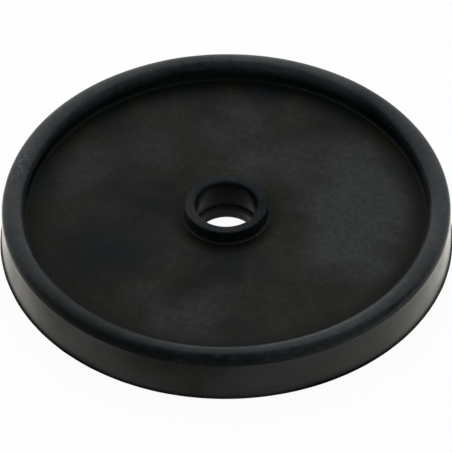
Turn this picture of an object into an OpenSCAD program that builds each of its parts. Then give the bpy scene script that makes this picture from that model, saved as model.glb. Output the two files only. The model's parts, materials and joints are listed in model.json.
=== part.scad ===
// Pump diaphragm: a one-piece moulded rubber disc with a beaded rim, a flat web and a stepped hub.
// The section is drawn once, radius along x and height along y, and turned about the Z axis.
// The underside lies on z = 0 and the hub stands up along +Z. All sizes are in millimetres.

/* [Disc] */
// Diameter of the outer wall
body_d = 96.6; // [88:0.2:110]
// Thickness of the flat web between the hub and the rim
web_t = 7; // [5:0.1:8.4]
// Depth of the dish, from the crest of the rim down to the web
dish_depth = 4.7; // [3.5:0.1:7]

/* [Rim] */
// Width of the rim, whose top is rounded over this whole width
rim_w = 4.9; // [3.6:0.1:6.4]
// Fillet at the foot of the rim's inner wall
rim_fillet = 0.6; // [0.2:0.1:1.5]

/* [Lip] */
// Distance the thin moulding lip stands out from the outer wall
lip_out = 0.7; // [0.5:0.1:2]
// Thickness of the lip, whose edge is rounded
lip_t = 0.5; // [0.3:0.1:0.9]
// Fillet between the lip and the outer wall
lip_fillet = 0.2; // [0.1:0.05:0.4]

/* [Hub] */
// Diameter of the upper bore, which takes the spigot of the piston
bore_d = 13.4; // [12.8:0.1:18]
// Wall of the collar around the upper bore
collar_wall = 2.3; // [1.4:0.1:5]
// Height of the collar above the web
collar_h = 3.2; // [1.5:0.1:6]
// Diameter of the hole below the ledge, which passes the clamping bolt
hole_d = 12; // [8:0.1:12.4]
// Height of the ledge between the bore and the hole
ledge_h = 3.3; // [1.8:0.1:4.5]
// Fillet where the collar meets the web
collar_fillet = 0.4; // [0.2:0.1:1.2]
// Rounding of the collar's outer top edge
collar_edge = 0.35; // [0.1:0.05:0.6]
// Rounding of the bore's mouth
bore_edge = 0.7; // [0.2:0.05:0.9]
// Rounding of the hole's edge at the underside
hole_edge = 1; // [0.3:0.1:1.5]

/* [Hidden] */
$fn = 96;
rubber_colour = [0.115, 0.112, 0.102];
body_r = body_d / 2;
bead_r = rim_w / 2;
rim_inner_r = body_r - rim_w;
rim_top = web_t + dish_depth;
bead_z = rim_top - bead_r;
lip_r = body_r + lip_out;
lip_nose = lip_t / 2;
bore_r = bore_d / 2;
hole_r = hole_d / 2;
collar_r = bore_r + collar_wall;
collar_top = web_t + collar_h;

// Sliver between a right-angled corner at the origin and the arc that rounds it
module corner_sliver(radius) {
    difference() {
        square(radius);
        translate([radius, radius])
            circle(radius);
    }
}

// Rim block with its half-round bead and the fillet at its inner foot
module rim_section() {
    translate([rim_inner_r, 0])
        square([rim_w, bead_z]);
    translate([rim_inner_r + bead_r, bead_z])
        intersection() {
            circle(bead_r);
            translate([-bead_r, 0])
                square([rim_w, bead_r]);
        }
    translate([rim_inner_r, web_t])
        mirror([1, 0])
            corner_sliver(rim_fillet);
}

// Thin lip at the foot of the outer wall, with a rounded edge
module lip_section() {
    translate([body_r, 0])
        square([lip_out - lip_nose, lip_t]);
    translate([lip_r - lip_nose, lip_nose])
        intersection() {
            circle(lip_nose);
            translate([0, -lip_nose])
                square([lip_nose, lip_t]);
        }
    translate([body_r, lip_t])
        corner_sliver(lip_fillet);
}

// Solid hub up to the top of the collar, with its outer edge rounded and its foot filleted
module hub_section() {
    difference() {
        square([collar_r, collar_top]);
        translate([collar_r, collar_top])
            rotate(180)
                corner_sliver(collar_edge);
    }
    translate([collar_r, web_t])
        corner_sliver(collar_fillet);
}

// Everything cut away around the axis: the hole, the bore above its ledge and their rounded mouths
module bore_section() {
    square([hole_r, ledge_h]);
    translate([hole_r, 0])
        corner_sliver(hole_edge);
    translate([0, ledge_h])
        square([bore_r, collar_top - ledge_h]);
    translate([bore_r, collar_top])
        mirror([0, 1])
            corner_sliver(bore_edge);
}

module diaphragm() {
    color(rubber_colour)
        rotate_extrude()
            difference() {
                union() {
                    square([body_r, web_t]);
                    rim_section();
                    lip_section();
                    hub_section();
                }
                bore_section();
            }
}

diaphragm();
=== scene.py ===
import json
import math
import bpy
from mathutils import Matrix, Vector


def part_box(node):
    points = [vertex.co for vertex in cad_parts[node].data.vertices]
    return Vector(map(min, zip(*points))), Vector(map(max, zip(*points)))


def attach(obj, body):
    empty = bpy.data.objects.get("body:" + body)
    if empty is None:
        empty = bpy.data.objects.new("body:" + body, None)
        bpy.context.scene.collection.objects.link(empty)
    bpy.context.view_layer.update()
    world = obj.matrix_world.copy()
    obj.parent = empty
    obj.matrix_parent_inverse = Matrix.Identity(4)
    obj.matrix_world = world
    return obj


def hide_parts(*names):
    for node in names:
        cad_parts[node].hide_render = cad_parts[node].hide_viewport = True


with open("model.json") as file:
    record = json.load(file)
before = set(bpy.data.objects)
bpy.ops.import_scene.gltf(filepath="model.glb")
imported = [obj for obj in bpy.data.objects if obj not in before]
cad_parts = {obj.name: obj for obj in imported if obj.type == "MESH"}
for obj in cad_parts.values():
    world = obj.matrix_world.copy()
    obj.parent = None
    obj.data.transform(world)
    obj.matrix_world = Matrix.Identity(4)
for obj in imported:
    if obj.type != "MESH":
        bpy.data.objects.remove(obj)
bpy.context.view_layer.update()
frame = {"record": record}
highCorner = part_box("diaphragm")[1]
mounts = {mount["name"]: mount["dims"] for mount in frame["record"]["mounts"]}
scene = bpy.context.scene
scene.view_settings.view_transform = "Standard"
print("frame loaded,", round(highCorner.x * 2000, 2), "mm over the lip")


# Camera, fitted to the edges of the photo
shot = {
    "lens": 405.4,           # mm
    "sensor": 36,            # mm
    "clip": (0.05, 20),
    "distance": 1.1,
    "elevation": 43.628,     # degrees above the floor
    "roll": -0.474,
    "aimX": -0.00007,
    "aimZ": 0.00361,
}


def placeCamera(values):
    tilt = math.radians(values["elevation"])
    bpy.ops.object.select_all(action="DESELECT")
    bpy.ops.object.camera_add()
    camera = bpy.context.object
    camera.name = "photoCamera"
    camera.data.lens = values["lens"]
    camera.data.sensor_width = values["sensor"]
    camera.data.clip_start = values["clip"][0]
    camera.data.clip_end = values["clip"][1]
    lift = Matrix.Rotation(math.pi / 2 - tilt, 4, "X")
    roll = Matrix.Rotation(math.radians(values["roll"]), 4, "Z")
    camera.rotation_euler = (lift @ roll).to_euler()
    camera.location = (
        values["aimX"],
        -values["distance"] * math.cos(tilt),
        values["aimZ"] + values["distance"] * math.sin(tilt),
    )
    scene.camera = camera
    print("camera placed")


# Node helpers
def addNode(tree, kind, **settings):
    node = tree.nodes.new(kind)
    for name, value in settings.items():
        setattr(node, name, value)
    return node


def setInputs(node, **values):
    for name, value in values.items():
        node.inputs[name.replace("_", " ")].default_value = value
    return node


def mathNode(tree, operation, first, second, clamp=False):
    node = addNode(tree, "ShaderNodeMath", operation=operation, use_clamp=clamp)
    for index, value in enumerate((first, second)):
        if isinstance(value, (int, float)):
            node.inputs[index].default_value = value
        else:
            tree.links.new(value, node.inputs[index])
    return node.outputs[0]


def times(tree, first, second, clamp=False):
    return mathNode(tree, "MULTIPLY", first, second, clamp)


def plus(tree, first, second, clamp=False):
    return mathNode(tree, "ADD", first, second, clamp)


def minus(tree, first, second):
    return mathNode(tree, "SUBTRACT", first, second)


def rampNode(tree, value, low, high, outLow=0.0, outHigh=1.0, curve="SMOOTHSTEP"):
    node = addNode(tree, "ShaderNodeMapRange", interpolation_type=curve)
    setInputs(node, From_Min=low, From_Max=high, To_Min=outLow, To_Max=outHigh)
    tree.links.new(value, node.inputs["Value"])
    return node.outputs["Result"]


def mixColour(tree, factor, first, second, blend="MIX"):
    node = addNode(tree, "ShaderNodeMix", data_type="RGBA", blend_type=blend)
    sockets = (node.inputs[0], node.inputs[6], node.inputs[7])   # factor and the two colours
    for socket, value in zip(sockets, (factor, first, second)):
        if isinstance(value, tuple):
            socket.default_value = (*value, 1)
        elif isinstance(value, (int, float)):
            socket.default_value = value
        else:
            tree.links.new(value, socket)
    return node.outputs[2]


def noiseNode(tree, vector, scale, detail=3.0, roughness=0.5, depth=None):
    node = addNode(tree, "ShaderNodeTexNoise", noise_dimensions="3D" if depth is None else "4D")
    setInputs(node, Scale=scale, Detail=detail, Roughness=roughness)
    tree.links.new(vector, node.inputs["Vector"])
    if depth is not None:
        tree.links.new(depth, node.inputs["W"])
    return node.outputs["Fac"]


def splitAxes(tree, place):
    node = addNode(tree, "ShaderNodeSeparateXYZ")
    tree.links.new(place, node.inputs[0])
    return node.outputs


def lengthOf(tree, place):
    node = addNode(tree, "ShaderNodeVectorMath", operation="LENGTH")
    tree.links.new(place, node.inputs[0])
    return node.outputs["Value"]


def gapTo(tree, place, point):
    node = addNode(tree, "ShaderNodeVectorMath", operation="DISTANCE")
    node.inputs[1].default_value = point
    tree.links.new(place, node.inputs[0])
    return node.outputs["Value"]


# Studio: a broad light above and behind, and a dark room in front
studio = {
    "backLight": 1.50,
    "frontLight": 0.165,
    "backColour": (0.95, 1.0, 1.05),
    "frontColour": (0.74, 1.0, 1.07),
    "tintTo": 0.5,           # light level that has all of the back colour
    "edge": (0.02, 0.37),    # soft edge of the light, from front to back
    "lean": 0.25,            # how far the edge leans forward overhead
    "swing": 0.06,           # and how far the light stands to the right
    "sideFall": 0.30,        # how much the light falls off to the sides
    "lowLight": 0.60,        # and what is left of it at table height
    "lowTo": 0.75,
}


def lightStudio(values):
    world = bpy.data.worlds.new("studioWorld")
    world.use_nodes = True
    scene.world = world
    tree = world.node_tree
    tree.nodes.clear()
    axes = splitAxes(tree, addNode(tree, "ShaderNodeTexCoord").outputs["Generated"])
    depth = plus(tree, axes["Y"], times(tree, axes["Z"], values["lean"]))
    depth = plus(tree, depth, times(tree, axes["X"], values["swing"]))
    level = rampNode(tree, depth, *values["edge"], 0.0, values["backLight"])
    aside = times(tree, axes["X"], axes["X"])
    aside = minus(tree, 1.0, times(tree, aside, values["sideFall"]))
    level = times(tree, level, aside)
    low = rampNode(tree, axes["Z"], 0.0, values["lowTo"], values["lowLight"], 1.0)
    level = times(tree, level, low)
    tintShare = rampNode(tree, level, 0.0, values["tintTo"])
    tint = mixColour(tree, tintShare, values["frontColour"], values["backColour"])
    level = plus(tree, level, values["frontLight"])
    background = addNode(tree, "ShaderNodeBackground")
    tree.links.new(tint, background.inputs["Color"])
    tree.links.new(level, background.inputs["Strength"])
    output = addNode(tree, "ShaderNodeOutputWorld")
    tree.links.new(background.outputs[0], output.inputs["Surface"])
    print("studio lit")


# Pale table; what the gloss of the rubber sees of it is a painted glow, with painted shade in front, a
# painted contact shadow under the lip and a painted glow through the hole
tableTop = {
    "size": 8.0,
    "drop": -0.00004,        # just below the disc
    "colour": (0.88, 0.88, 0.87),
    "white": 0.955,          # share of plain white that the camera sees
    "glossColour": (1.03, 1.0, 0.93),
    "glossFrom": -0.060,     # gloss sees the table fade into the dark room in front
    "glossTo": -0.008,
    "glossTurn": 0.13,       # a little brighter to the right
    "glossDark": 0.20,
    "glossBright": 1.1,
    "glossNear": 1.40,       # brighter beside the disc and dimmer further off
    "glossFar": 0.62,
    "nearRing": (0.0500, 0.0575),
    "nearFrom": (-0.040, -0.022),
    "contactDark": 0.40,     # painted contact shadow under the lip
    "contactRing": (0.0490, 0.0499),
    "holeDark": 0.60,        # painted glow and shade through the hole: dimmer, most of all away from its far edge
    "holeBright": 1.50,
    "holeLight": (0.0016, 0.0058, 0.0),
    "holeRing": (0.0050, 0.0010),
    "holeEnd": (0.0065, 0.0092),
    "holeRest": 0.1,
    "underDisc": (0.03, 0.02),
}


def glossFade(tree, place, values):
    axes = splitAxes(tree, place)
    radius = lengthOf(tree, place)
    depth = plus(tree, axes["Y"], times(tree, axes["X"], values["glossTurn"]))
    ends = (values["glossFrom"], values["glossTo"], values["glossDark"], values["glossBright"])
    fade = rampNode(tree, depth, *ends, "LINEAR")
    beside = rampNode(tree, radius, *values["nearRing"], values["glossNear"] - 1, values["glossFar"] - 1)
    beside = times(tree, beside, rampNode(tree, axes["Y"], *values["nearFrom"]))
    fade = times(tree, fade, plus(tree, 1.0, beside))
    contact = rampNode(tree, radius, *values["contactRing"], values["contactDark"], 1.0)
    fade = times(tree, fade, contact)
    gap = gapTo(tree, place, values["holeLight"])
    hole = rampNode(tree, gap, *values["holeRing"], values["holeDark"], values["holeBright"])
    hole = times(tree, hole, rampNode(tree, gap, *values["holeEnd"], 1.0, values["holeRest"]))
    under = rampNode(tree, radius, *values["underDisc"])
    under = times(tree, under, minus(tree, 1.0, hole))
    return times(tree, fade, minus(tree, 1.0, under))


def layTable(values):
    bpy.ops.object.select_all(action="DESELECT")
    bpy.ops.mesh.primitive_plane_add(size=values["size"], location=(0, 0, values["drop"]))
    table = bpy.context.object
    table.name = "table"
    material = bpy.data.materials.new("tableTop")
    material.use_nodes = True
    tree = material.node_tree
    tree.nodes.clear()
    diffuse = addNode(tree, "ShaderNodeBsdfDiffuse")
    diffuse.inputs["Color"].default_value = (*values["colour"], 1)
    place = addNode(tree, "ShaderNodeTexCoord").outputs["Object"]
    fade = glossFade(tree, place, values)
    path = addNode(tree, "ShaderNodeLightPath")
    gloss = path.outputs["Is Glossy Ray"]
    seen = plus(tree, path.outputs["Is Camera Ray"], path.outputs["Is Transmission Ray"])
    share = plus(tree, times(tree, seen, values["white"]), gloss, clamp=True)
    white = addNode(tree, "ShaderNodeEmission")
    # painted glow that the gloss sees in place of the lit table
    glow = plus(tree, times(tree, fade, gloss), minus(tree, 1.0, gloss))
    tint = mixColour(tree, gloss, (1.0, 1.0, 1.0), values["glossColour"])
    tree.links.new(glow, white.inputs["Strength"])
    tree.links.new(tint, white.inputs["Color"])
    mix = addNode(tree, "ShaderNodeMixShader")
    tree.links.new(share, mix.inputs[0])
    tree.links.new(diffuse.outputs[0], mix.inputs[1])
    tree.links.new(white.outputs[0], mix.inputs[2])
    output = addNode(tree, "ShaderNodeOutputMaterial")
    tree.links.new(mix.outputs[0], output.inputs["Surface"])
    table.data.materials.append(material)
    print("table laid")


# Rubber disc: the section is drawn as an outline and spun about Z
waveRoom = 0.00004           # the waves take this off the outer wall again
disc = {
    "lipRadius": highCorner.x,
    "rimTop": highCorner.z,
    "bodyRadius": mounts["outer_wall"]["r_mm"] / 1000 + waveRoom,
    "boreRadius": mounts["spigot_bore"]["r_mm"] / 1000,
    "holeRadius": mounts["bolt_hole"]["r_mm"] / 1000,
    "rimWidth": 0.0049,
    "rimFoot": 0.0006,       # fillet at the foot of the rim
    "webTop": 0.007,
    "lipHeight": 0.0005,
    "lipFillet": 0.0002,
    "wallDraft": 0.0003,     # how much the wall widens towards the lip
    "draftFrom": 0.0085,
    "draftRound": 0.0005,
    "collarWall": 0.0023,
    "collarTop": 0.0102,
    "collarEdge": 0.00035,
    "boreEdge": 0.0007,
    "collarFoot": 0.0004,
    "ledgeTop": 0.0033,
    "ledgeEdge": 0.00012,
    "holeEdge": 0.001,
    "turnSteps": 288,
    "cuts": ((0.020, 31), (0.0015, 4)),   # edges longer than this get so many cuts
    "webWave": 0.00005,      # how uneven the moulding is, in metres
    "rimWave": 0.00009,
    "lipWave": 0.00010,
    "webGrain": 0.009,       # and how wide its waves are
    "rimGrain": 0.012,
    "lipGrain": 0.004,
    "smoothAngle": 40,
}
samePoint = 1e-6
sameLevel = 1e-5


def fromAxis(place):
    return math.hypot(place.x, place.y)


def sectionCorners(size):
    inner = size["bodyRadius"] - size["rimWidth"]
    collar = size["boreRadius"] + size["collarWall"]
    bead = size["rimWidth"] / 2
    nose = size["lipHeight"] / 2
    # radius, height, rounding, steps of the rounding
    return [
        (size["holeRadius"], 0, size["holeEdge"], 8),
        (size["holeRadius"], size["ledgeTop"], size["ledgeEdge"], 3),
        (size["boreRadius"], size["ledgeTop"], size["ledgeEdge"], 3),
        (size["boreRadius"], size["collarTop"], size["boreEdge"], 10),
        (collar, size["collarTop"], size["collarEdge"], 6),
        (collar, size["webTop"], size["collarFoot"], 6),
        (inner, size["webTop"], size["rimFoot"], 7),
        (inner, size["rimTop"], bead, 20),
        (size["bodyRadius"], size["rimTop"], bead, 20),
        (size["bodyRadius"], size["draftFrom"], size["draftRound"], 3),
        (size["bodyRadius"] + size["wallDraft"], size["lipHeight"], size["lipFillet"], 5),
        (size["lipRadius"], size["lipHeight"], nose, 6),
        (size["lipRadius"], 0, nose, 6),
    ]


def pickPoints(piece, test):
    bpy.ops.object.mode_set(mode="OBJECT")
    for part in (piece.data.polygons, piece.data.edges, piece.data.vertices):
        part.foreach_set("select", [False] * len(part))
    for vertex in piece.data.vertices:
        vertex.select = test(vertex.co)
    bpy.ops.object.mode_set(mode="EDIT")
    bpy.ops.mesh.select_mode(type="VERT")


def pickEdges(piece, test):
    pickPoints(piece, lambda place: False)
    bpy.ops.mesh.select_mode(type="EDGE")
    bpy.ops.object.mode_set(mode="OBJECT")
    points = piece.data.vertices
    for edge in piece.data.edges:
        ends = [points[index].co for index in edge.vertices]
        edge.select = test(*ends)
    bpy.ops.object.mode_set(mode="EDIT")


def pickFaces(piece, test):
    pickPoints(piece, lambda place: False)
    bpy.ops.mesh.select_mode(type="FACE")
    bpy.ops.object.mode_set(mode="OBJECT")
    for face in piece.data.polygons:
        face.select = test(face.center, face.normal)
    bpy.ops.object.mode_set(mode="EDIT")


def drawSection(size):
    corners = sectionCorners(size)
    first = corners[0]
    last = corners[-1]
    bpy.ops.object.select_all(action="DESELECT")
    bpy.ops.mesh.primitive_plane_add(size=0.001, location=(first[0], 0, first[1]))
    piece = bpy.context.object
    piece.name = "rubberDisc"
    bpy.ops.object.transform_apply(location=True, rotation=True, scale=True)
    bpy.ops.object.mode_set(mode="EDIT")
    bpy.ops.mesh.select_mode(type="VERT")
    bpy.ops.mesh.select_all(action="SELECT")
    bpy.ops.mesh.merge(type="CENTER")
    for old, new in zip(corners, corners[1:]):
        step = (new[0] - old[0], 0, new[1] - old[1])
        bpy.ops.mesh.extrude_region_move(TRANSFORM_OT_translate={"value": step})

    def onCorner(place, corner):
        return math.hypot(place.x - corner[0], place.z - corner[1]) < samePoint

    # close the outline along the underside, then round every corner
    pickPoints(piece, lambda place: onCorner(place, first) or onCorner(place, last))
    bpy.ops.mesh.edge_face_add()
    for corner in corners:
        rounding, steps = corner[2:]
        pickPoints(piece, lambda place: onCorner(place, corner))
        bpy.ops.mesh.bevel(
            offset=rounding,
            segments=steps,
            affect="VERTICES",
            profile=0.5,
            clamp_overlap=False,
        )
    print("section drawn,", len(piece.data.vertices), "points")
    return piece


def cutLongEdges(piece, shortest, cuts):
    pickEdges(piece, lambda first, last: (first - last).length > shortest)
    bpy.ops.mesh.subdivide(number_cuts=cuts)


def turnSection(piece, size):
    for shortest, cuts in size["cuts"]:
        cutLongEdges(piece, shortest, cuts)
    bpy.ops.mesh.select_all(action="SELECT")
    bpy.ops.mesh.spin(steps=size["turnSteps"], angle=math.tau, center=(0, 0, 0), axis=(0, 0, 1))
    bpy.ops.mesh.select_all(action="SELECT")
    bpy.ops.mesh.remove_doubles(threshold=2e-6)
    bpy.ops.mesh.normals_make_consistent(inside=False)
    # flatten the underside, a hair above the floor
    pickPoints(piece, lambda place: place.z < samePoint)
    bpy.ops.transform.resize(value=(1, 1, 0), center_override=(0, 0, 1e-7))
    bpy.ops.object.mode_set(mode="OBJECT")
    print("section turned,", len(piece.data.polygons), "faces")


def wavePoints(piece, name, test, strength, grain):
    group = piece.vertex_groups.new(name=name)
    group.add([point.index for point in piece.data.vertices if test(point.co)], 1.0, "REPLACE")
    clouds = bpy.data.textures.new(name, "CLOUDS")
    clouds.noise_scale = grain
    wave = piece.modifiers.new(name, "DISPLACE")
    wave.texture = clouds
    wave.texture_coords = "LOCAL"
    wave.vertex_group = name
    wave.mid_level = 1.0     # only inwards, so that the disc keeps its size
    wave.strength = strength
    bpy.ops.object.modifier_apply(modifier=name)
    piece.vertex_groups.remove(piece.vertex_groups[name])


def unevenDisc(piece, size):
    inner = size["bodyRadius"] - size["rimWidth"]
    collar = size["boreRadius"] + size["collarWall"]
    webFrom = collar + size["collarFoot"]
    webTo = inner - size["rimFoot"]
    lipFrom = size["bodyRadius"] + size["wallDraft"] + size["lipFillet"]
    beadFoot = size["rimTop"] - size["rimWidth"] / 2

    def onWeb(place):
        return abs(place.z - size["webTop"]) < sameLevel and webFrom < fromAxis(place) < webTo

    def onBead(place):
        return place.z > beadFoot and fromAxis(place) > inner - sameLevel

    def onLip(place):
        return place.z > sameLevel and fromAxis(place) > lipFrom

    wavePoints(piece, "webWave", onWeb, size["webWave"], size["webGrain"])
    wavePoints(piece, "rimWave", onBead, size["rimWave"], size["rimGrain"])
    wavePoints(piece, "lipWave", onLip, size["lipWave"], size["lipGrain"])
    bpy.ops.object.shade_smooth_by_angle(angle=math.radians(size["smoothAngle"]))
    normals = piece.modifiers.new("evenNormals", "WEIGHTED_NORMAL")
    normals.keep_sharp = True
    bpy.ops.object.modifier_apply(modifier="evenNormals")
    print("moulding made uneven")


# Finishes: the bead and the wall are smooth from the mould, the hub is duller,
# the lip is dull and dark, and the web is matt with a bloom; the crease fillets and the ledge carry
# painted highlights and light, and some darker places are painted shade
beadFinish = {
    "deep": (0.0038, 0.0056, 0.0064),
    "pale": (0.0092, 0.0112, 0.0120),
    "bloom": (0.0380, 0.0395, 0.0385),
    "bloomShare": 0.05,
    "mottle": 0.36,          # fine mottling of the bloom
    "patch": 0.012,          # size of the patches, in metres
    "fleck": 0.20,
    "roughLow": 0.17,
    "roughHigh": 0.34,
    "specular": 0.175,
    "scuff": 0.80,
    "scuffColour": (0.030, 0.031, 0.031),
    "nicks": [               # places with fine bright nicks: x, y, z, radius, share
        (-0.0472, 0.0160, 0.0105, 0.0085, 0.90),
        (-0.0490, 0.0070, 0.0108, 0.0070, 0.60),
    ],
    "nickColour": (0.085, 0.088, 0.092),
    "dust": 0.70,            # the lower, the more specks
    "grain": 0.20,
    "wipes": [               # hazy places
        (0.0230, -0.0398, 0.0100, 0.0180, 0.70),
        (0.0377, -0.0264, 0.0112, 0.0120, 0.25),
        (0.0453, -0.0080, 0.0117, 0.0100, 0.40),
        (0.0222, 0.0385, 0.0108, 0.0110, 0.80),
        (0.0118, 0.0440, 0.0110, 0.0100, 0.40),
        (0.0060, 0.0462, 0.0117, 0.0160, 1.00),
        (-0.0190, 0.0415, 0.0112, 0.0140, 1.00),
        (-0.0320, 0.0320, 0.0108, 0.0110, 0.70),
        (-0.0417, 0.0194, 0.0117, 0.0120, 0.60),
        (-0.0460, 0.0000, 0.0117, 0.0090, 0.40),
    ],
    "strokes": None,         # which way the cloth went, in degrees, or round with the disc
    "strokeShare": (0.35, 1.1),
    "shade": (0.0026, 0.0036, 0.0042),
    "shadeRough": 0.26,
    "shades": [              # dull dark places
        (-0.0230, -0.0398, 0.0112, 0.0190, 1.00),
        (-0.0370, -0.0275, 0.0115, 0.0150, 0.95),
        (0.0390, -0.0225, 0.0110, 0.0080, 0.45),
        (0.0318, 0.0318, 0.0112, 0.0090, 0.60),
        (0.0000, -0.0458, 0.0117, 0.0100, 0.30),
    ],
    "paintedFootShade": [],               # painted shade along the foot of the wall
    "clear": None,           # painted shade towards the collar and the rim: where the bloom and the pale patches start and end, from the collar to the rim
}
wallFinish = dict(
    beadFinish,
    deep=(0.0054, 0.0050, 0.0032),
    pale=(0.0096, 0.0090, 0.0062),
    bloom=(0.0470, 0.0465, 0.0410),
    bloomShare=0.36,
    mottle=0.12,
    fleck=0.14,
    specular=0.30,
    nicks=[],
    wipes=[
        (0.0242, -0.0418, 0.0050, 0.0150, 0.95),
        (0.0119, -0.0468, 0.0050, 0.0120, 0.95),
        (-0.0277, -0.0396, 0.0050, 0.0130, 0.90),
        (-0.0200, -0.0441, 0.0020, 0.0080, 0.50),
        (-0.0130, -0.0465, 0.0020, 0.0070, 0.50),
        (0.0000, -0.0483, 0.0015, 0.0070, 0.50),
        (0.0380, -0.0300, 0.0050, 0.0110, 0.60),
    ],
    shade=(0.0030, 0.0028, 0.0020),
    shades=[],
    # painted shade at the foot of the wall, just above the lip
    paintedFootShade=[
        (0.0215, -0.0436, 0.0010, 0.0150, 1.00),
        (0.0320, -0.0366, 0.0010, 0.0100, 0.50),
        (-0.0305, -0.0378, 0.0010, 0.0110, 1.00),
        (-0.0409, -0.0262, 0.0010, 0.0110, 0.80),
        (-0.0463, -0.0150, 0.0010, 0.0110, 0.80),
    ],
    paintedFootShadeHeight=(0.0024, 0.0010),   # from none to full, downwards
)
lipFinish = dict(
    wallFinish,
    deep=(0.0170, 0.0155, 0.0095),
    pale=(0.0260, 0.0240, 0.0160),
    roughLow=0.5,
    roughHigh=0.6,
    specular=0.04,
    bloomShare=0.08,
    wipes=[(0.0010, -0.0488, 0.0005, 0.0150, 0.90)],
)
# inner wall of the rim, with painted shade where it is darker
footFinish = dict(
    beadFinish,
    deep=(0.0070, 0.0115, 0.0130),
    pale=(0.0100, 0.0148, 0.0162),
    specular=0.042,
    bloomShare=0.05,
    mottle=0.04,
    nicks=[],
    wipes=[
        (-0.0030, 0.0432, 0.0072, 0.0200, 0.60),
        (-0.0412, -0.0130, 0.0080, 0.0110, 0.45),
    ],
    shades=[
        (-0.0400, 0.0160, 0.0085, 0.0140, 0.95),
        (0.0408, 0.0140, 0.0085, 0.0090, 0.70),
        (0.0333, 0.0280, 0.0085, 0.0110, 0.90),
    ],
)
# fillet at the foot of the rim: a paler colour paints the thin highlight line along it, brighter at the
# far side, with painted shade fading it at its ends
rimCreaseHighlight = dict(
    footFinish,
    deep=(0.0130, 0.0134, 0.0112),
    pale=(0.0180, 0.0184, 0.0156),
    wipes=[
        (0.0200, 0.0383, 0.0072, 0.0200, 0.70),
        (-0.0100, 0.0420, 0.0072, 0.0200, 0.70),
    ],
    shades=[
        (-0.0400, 0.0160, 0.0075, 0.0140, 0.90),
        (0.0402, 0.0146, 0.0075, 0.0100, 0.50),
    ],
)
hubFinish = dict(
    beadFinish,
    deep=(0.0066, 0.0100, 0.0114),
    pale=(0.0105, 0.0138, 0.0152),
    bloom=(0.0262, 0.0250, 0.0254),
    bloomShare=0.30,
    mottle=0.25,
    patch=0.004,
    fleck=0.25,
    roughLow=0.26,
    roughHigh=0.36,
    specular=0.036,
    nicks=[],
    wipes=[
        (-0.0072, -0.0040, 0.0102, 0.0100, 0.70),
        (0.0008, -0.0080, 0.0102, 0.0060, 0.60),
    ],
    shades=[(0.0079, -0.0010, 0.0102, 0.0075, 0.90)],
    shadeRough=0.0,
)
# fillet at the foot of the collar: a paler colour paints the thin highlight line along it, with painted
# shade fading it at the sides
collarFootHighlight = dict(
    hubFinish,
    deep=(0.022, 0.023, 0.019),
    pale=(0.030, 0.031, 0.026),
    wipes=[],
    shades=[
        (-0.0092, -0.0005, 0.0072, 0.0080, 1.00),
        (0.0092, -0.0005, 0.0072, 0.0080, 1.00),
    ],
)
boreFinish = dict(
    hubFinish,
    deep=(0.0044, 0.0072, 0.0062),
    pale=(0.0080, 0.0116, 0.0100),
    bloom=(0.0185, 0.0235, 0.0205),
    patch=0.003,
    specular=0.11,
    # painted light low on the far side of the bore, by the ledge
    wipes=[(0.0000, 0.0067, 0.0038, 0.0065, 0.90)],
    # painted shade: a dark reflected wedge high on the right of the bore
    shades=[(0.0050, 0.0045, 0.0088, 0.0060, 1.00)],
)
# the ledge in the bore: a much paler colour paints the light that falls on it
ledgePaintedLight = dict(
    boreFinish,
    deep=(0.050, 0.053, 0.046),
    pale=(0.067, 0.070, 0.061),
    specular=0.05,
    wipes=[],
    shades=[],
)
webFinish = dict(
    beadFinish,
    deep=(0.0070, 0.0064, 0.0032),
    pale=(0.0162, 0.0148, 0.0088),
    bloom=(0.0330, 0.0333, 0.0320),
    bloomShare=0.25,
    mottle=0.06,
    fleck=0.22,
    roughLow=0.34,
    roughHigh=0.44,
    specular=0.038,
    scuff=0.30,
    scuffColour=(0.026, 0.026, 0.023),
    nicks=[],
    dust=0.78,
    grain=0.16,
    wipes=[
        (-0.0185, -0.0065, 0.0070, 0.0150, 0.25),
        (-0.0094, -0.0316, 0.0070, 0.0140, 0.70),
        (0.0270, 0.0098, 0.0070, 0.0180, 1.00),
        (0.0315, -0.0010, 0.0070, 0.0160, 1.00),
        (0.0282, -0.0130, 0.0070, 0.0120, 0.90),
        (0.0097, 0.0170, 0.0070, 0.0090, 0.60),
        (-0.0320, 0.0145, 0.0070, 0.0110, 0.50),
        (0.0023, 0.0305, 0.0070, 0.0100, 0.55),
        (-0.0170, 0.0220, 0.0070, 0.0120, 0.35),
    ],
    strokes=-28,
    strokeShare=(0.60, 1.02),
    shade=(0.0030, 0.0048, 0.0066),
    shadeRough=0.0,
    # darker bluish places: a patch and a smear on the web, and painted shade in front of the collar and
    # along the rim
    shades=[
        (-0.0262, -0.0125, 0.0070, 0.0150, 0.80),
        (-0.0190, 0.0050, 0.0070, 0.0100, 0.50),
        (0.0010, -0.0155, 0.0070, 0.0110, 0.65),
        (0.0050, -0.0385, 0.0070, 0.0090, 0.30),
        (0.0402, 0.0146, 0.0070, 0.0075, 0.50),
        (-0.0402, 0.0146, 0.0070, 0.0075, 0.50),
        (0.0260, 0.0345, 0.0070, 0.0090, 0.80),
        (0.0100, 0.0420, 0.0070, 0.0090, 0.80),
        (-0.0100, 0.0420, 0.0070, 0.0090, 0.80),
        (-0.0260, 0.0345, 0.0070, 0.0090, 0.80),
    ],
    # painted shade: the web darkens towards the collar and the rim
    clear=(0.0095, 0.0130, 0.0365, 0.0425),
)

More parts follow.
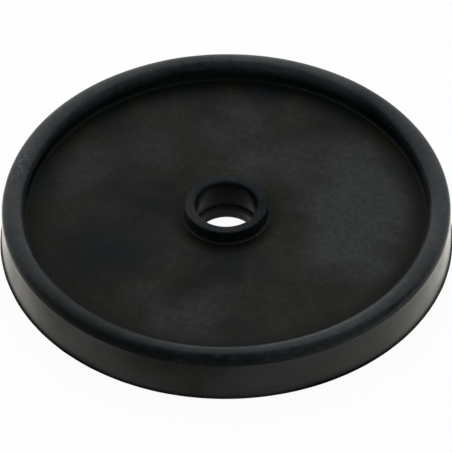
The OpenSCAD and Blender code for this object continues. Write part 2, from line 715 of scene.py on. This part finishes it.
# Marks that all finishes share: scale, detail and roughness of their noise, and what part of it shows
marks = {
    "bend": (70.0, 4.0),
    "bendReach": 0.02,       # how far the edge of a place wanders, in metres
    "placeEdge": (1.1, 0.1),   # from none to full, in radii of the place
    "strokeSize": (0.012, 0.003, 0.012),   # length and width of a stroke of the cloth
    "stroke": (1.0, 4.0, 0.6),
    "strokeShows": (0.32, 0.66),
    "streak": (9.0, 4.0, 0.6),
    "streakOut": 2600.0,     # streaks in a metre, outwards and upwards
    "streakUp": 1700.0,
    "patchDetail": (6.0, 0.62),
    "patchShows": (0.32, 0.68),
    "hazeSpread": 0.45,      # haze is coarser than the patches
    "hazeShows": (0.34, 0.72),
    "mottle": (620.0, 5.0, 0.68),
    "mottleShows": (0.46, 0.68),
    "roughShows": (0.3, 0.7),
    "fleck": (900.0, 5.0, 0.7),
    "fleckShows": (0.3, 0.7),
    "scuffPlace": (62.0, 2.0),
    "scuffPlaceShows": (0.46, 0.64),
    "scuffShows": (0.55, 0.74),
    "scuffRough": 0.25,
    "nick": (1250.0, 3.0),
    "nickShows": (0.54, 0.68),
    "speck": (900.0, 1.0),
    "speckEdge": 0.04,
    "speckShare": 0.35,
    "speckColour": (0.05, 0.05, 0.047),
    "grain": (4200.0, 3.0, 0.6),
    "ripple": (420.0, 4.0, 0.6),
    "rippleShare": 2.0,
    "bumpHeight": 0.00004,
}


def spotShare(tree, place, spots):
    scale, detail = marks["bend"]
    reach = marks["bendReach"]
    shift = setInputs(addNode(tree, "ShaderNodeTexNoise"), Scale=scale, Detail=detail)
    tree.links.new(place, shift.inputs["Vector"])
    bend = addNode(tree, "ShaderNodeVectorMath", operation="MULTIPLY_ADD")
    bend.inputs[1].default_value = (reach, reach, 0.0)
    tree.links.new(shift.outputs["Color"], bend.inputs[0])
    tree.links.new(place, bend.inputs[2])
    edgeFrom, edgeTo = marks["placeEdge"]
    total = None
    for x, y, z, radius, share in spots:
        gap = gapTo(tree, bend.outputs[0], (x + reach / 2, y + reach / 2, z))
        spot = rampNode(tree, gap, edgeFrom * radius, edgeTo * radius, 0.0, share)
        total = spot if total is None else plus(tree, total, spot)
    return total


def clothStrokes(tree, place, degrees):
    turn = addNode(tree, "ShaderNodeMapping", vector_type="TEXTURE")
    turn.inputs["Rotation"].default_value = (0, 0, math.radians(degrees))
    turn.inputs["Scale"].default_value = marks["strokeSize"]
    tree.links.new(place, turn.inputs["Vector"])
    return noiseNode(tree, turn.outputs[0], *marks["stroke"])


def roundStreaks(tree, flat, radius, height):
    around = addNode(tree, "ShaderNodeVectorMath", operation="NORMALIZE")
    tree.links.new(flat, around.inputs[0])
    outwards = times(tree, radius, marks["streakOut"])
    upwards = times(tree, height, marks["streakUp"])
    return noiseNode(tree, around.outputs[0], *marks["streak"], plus(tree, outwards, upwards))


def makeRubber(name, finish):
    material = bpy.data.materials.new(name)
    material.use_nodes = True
    tree = material.node_tree
    shader = tree.nodes["Principled BSDF"]
    shader.inputs["Specular IOR Level"].default_value = finish["specular"]
    place = addNode(tree, "ShaderNodeTexCoord").outputs["Object"]
    axes = splitAxes(tree, place)
    flat = addNode(tree, "ShaderNodeCombineXYZ")
    tree.links.new(axes["X"], flat.inputs["X"])
    tree.links.new(axes["Y"], flat.inputs["Y"])
    radius = lengthOf(tree, flat.outputs[0])
    streaks = roundStreaks(tree, flat.outputs[0], radius, axes["Z"])
    # patches of bloom
    patches = noiseNode(tree, place, 1 / finish["patch"], *marks["patchDetail"])
    paleShare = rampNode(tree, patches, *marks["patchShows"])
    haze = noiseNode(tree, place, marks["hazeSpread"] / finish["patch"], *marks["patchDetail"])
    haze = rampNode(tree, haze, *marks["hazeShows"], 0.0, finish["bloomShare"])
    if finish["wipes"]:
        strokes = streaks
        if finish["strokes"] is not None:
            strokes = clothStrokes(tree, place, finish["strokes"])
        strokes = rampNode(tree, strokes, *marks["strokeShows"], *finish["strokeShare"])
        wiped = times(tree, spotShare(tree, place, finish["wipes"]), strokes)
        haze = plus(tree, haze, wiped)
    mottle = noiseNode(tree, place, *marks["mottle"])
    mottle = rampNode(tree, mottle, *marks["mottleShows"], 0.0, finish["mottle"])
    haze = plus(tree, haze, mottle, clamp=True)
    # painted shade: the bloom and the pale patches give way to the deep colour towards the collar and
    # the rim
    if finish["clear"]:
        collarEnd, bloomFrom, bloomTo, rimEnd = finish["clear"]
        awayFromCreaseShade = rampNode(tree, radius, collarEnd, bloomFrom)
        awayFromCreaseShade = times(tree, awayFromCreaseShade, rampNode(tree, radius, bloomTo, rimEnd, 1.0, 0.0))
        paleShare = times(tree, paleShare, awayFromCreaseShade)
        haze = times(tree, haze, awayFromCreaseShade)
    colour = mixColour(tree, paleShare, finish["deep"], finish["pale"])
    colour = mixColour(tree, haze, colour, finish["bloom"])
    rough = rampNode(tree, patches, *marks["roughShows"], finish["roughLow"], finish["roughHigh"])
    # darker places, duller where shadeRough is set: partly dull rubber, partly painted shade
    if finish["shades"]:
        shaded = mathNode(tree, "MINIMUM", spotShare(tree, place, finish["shades"]), 1.0)
        colour = mixColour(tree, shaded, colour, finish["shade"])
        rough = plus(tree, rough, times(tree, shaded, finish["shadeRough"]))
    # painted shade along the foot of the wall, above the lip
    if finish["paintedFootShade"]:
        low = rampNode(tree, axes["Z"], *finish["paintedFootShadeHeight"])
        paintedFootShade = times(tree, spotShare(tree, place, finish["paintedFootShade"]), low, clamp=True)
        colour = mixColour(tree, paintedFootShade, colour, finish["shade"])
    flecks = noiseNode(tree, place, *marks["fleck"])
    flecks = rampNode(tree, flecks, *marks["fleckShows"], 1 - finish["fleck"], 1 + finish["fleck"])
    colour = mixColour(tree, 1.0, colour, flecks, "MULTIPLY")
    # scuffs that run round with the disc
    where = noiseNode(tree, place, *marks["scuffPlace"])
    where = rampNode(tree, where, *marks["scuffPlaceShows"])
    scuffs = times(tree, rampNode(tree, streaks, *marks["scuffShows"]), where)
    scuffs = times(tree, scuffs, finish["scuff"])
    colour = mixColour(tree, scuffs, colour, finish["scuffColour"])
    if finish["nicks"]:
        nicks = rampNode(tree, noiseNode(tree, place, *marks["nick"]), *marks["nickShows"])
        nicks = times(tree, nicks, spotShare(tree, place, finish["nicks"]), clamp=True)
        colour = mixColour(tree, nicks, colour, finish["nickColour"])
    # specks of dust
    specks = noiseNode(tree, place, *marks["speck"])
    speckTo = finish["dust"] + marks["speckEdge"]
    specks = rampNode(tree, specks, finish["dust"], speckTo, 0.0, marks["speckShare"])
    colour = mixColour(tree, specks, colour, marks["speckColour"])
    tree.links.new(colour, shader.inputs["Base Color"])
    rough = plus(tree, rough, times(tree, scuffs, marks["scuffRough"]), clamp=True)
    tree.links.new(rough, shader.inputs["Roughness"])
    # fine grain of the mould
    grain = noiseNode(tree, place, *marks["grain"])
    ripple = noiseNode(tree, place, *marks["ripple"])
    height = plus(tree, grain, times(tree, ripple, marks["rippleShare"]))
    bump = addNode(tree, "ShaderNodeBump")
    setInputs(bump, Strength=finish["grain"], Distance=marks["bumpHeight"])
    tree.links.new(height, bump.inputs["Height"])
    tree.links.new(bump.outputs[0], shader.inputs["Normal"])
    return material


# Where each finish ends: small distances past the corners, in metres, and slopes of the faces
finishEnds = {
    "wall": 0.0003,
    "boreTop": 0.0003,
    "bore": 0.0002,
    "dishFrom": 0.02,        # outside the hub and inside the rim
    "webLevel": 0.00012,
    "collarFillet": 0.9,     # shares of the fillets
    "rimFillet": 0.4,
    "rimCreaseSlope": 0.25,
    "creaseSlope": 0.1,
    "ledgeSlope": 0.9,
    "webSlope": 0.84,
}


def finishDisc(piece, size, limits):
    inner = size["bodyRadius"] - size["rimWidth"]
    collar = size["boreRadius"] + size["collarWall"]
    beadFoot = size["rimTop"] - size["rimWidth"] / 2
    wallFrom = size["bodyRadius"] - limits["wall"]
    lipFrom = size["bodyRadius"] + size["wallDraft"] + size["lipFillet"] / 2
    lipTop = size["lipHeight"] + size["lipFillet"]
    rimCreaseTop = size["webTop"] + size["rimFoot"]
    creaseTop = size["webTop"] + size["collarFoot"] * limits["collarFillet"]
    boreTo = size["boreRadius"] + limits["bore"]
    boreTop = size["collarTop"] - limits["boreTop"]
    webFrom = collar + size["collarFoot"] * limits["collarFillet"]
    webTo = inner - size["rimFoot"] * limits["rimFillet"]

    def onWall(centre, normal):
        return centre.z < beadFoot and fromAxis(centre) > wallFrom

    def onLip(centre, normal):
        return centre.z < lipTop and fromAxis(centre) > lipFrom

    # inner wall of the rim and the fillet at its foot
    def onFoot(centre, normal):
        inDish = limits["dishFrom"] < fromAxis(centre) < inner + sameLevel
        return inDish and sameLevel < centre.z < beadFoot

    def onRimCrease(centre, normal):
        low = centre.z < rimCreaseTop and normal.z > limits["rimCreaseSlope"]
        return low and onFoot(centre, normal)

    def onHub(centre, normal):
        return centre.z > sameLevel and fromAxis(centre) < collar + size["collarFoot"]

    # fillet at the foot of the collar
    def onCrease(centre, normal):
        low = centre.z < creaseTop and normal.z > limits["creaseSlope"]
        return low and onHub(centre, normal)

    def onBore(centre, normal):
        return centre.z < boreTop and fromAxis(centre) < boreTo

    def onLedge(centre, normal):
        return onBore(centre, normal) and normal.z > limits["ledgeSlope"]

    # the web and the underside
    def onWeb(centre, normal):
        level = abs(centre.z - size["webTop"]) < limits["webLevel"] and normal.z > limits["webSlope"]
        return centre.z < sameLevel or (level and webFrom < fromAxis(centre) < webTo)

    for name, finish, test in (
        ("beadRubber", beadFinish, None),
        ("wallRubber", wallFinish, onWall),
        ("lipRubber", lipFinish, onLip),
        ("footRubber", footFinish, onFoot),
        ("rimCreaseHighlightRubber", rimCreaseHighlight, onRimCrease),
        ("hubRubber", hubFinish, onHub),
        ("collarFootHighlightRubber", collarFootHighlight, onCrease),
        ("boreRubber", boreFinish, onBore),
        ("ledgePaintedLightRubber", ledgePaintedLight, onLedge),
        ("webRubber", webFinish, onWeb),
    ):
        piece.data.materials.append(makeRubber(name, finish))
        if test:
            pickFaces(piece, test)
            piece.active_material_index = len(piece.data.materials) - 1
            bpy.ops.object.material_slot_assign()
            bpy.ops.object.mode_set(mode="OBJECT")
    print("finishes given")


placeCamera(shot)
lightStudio(studio)
layTable(tableTop)
rubberDisc = drawSection(disc)
turnSection(rubberDisc, disc)
unevenDisc(rubberDisc, disc)
finishDisc(rubberDisc, disc, finishEnds)
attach(rubberDisc, "root")
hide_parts("diaphragm")
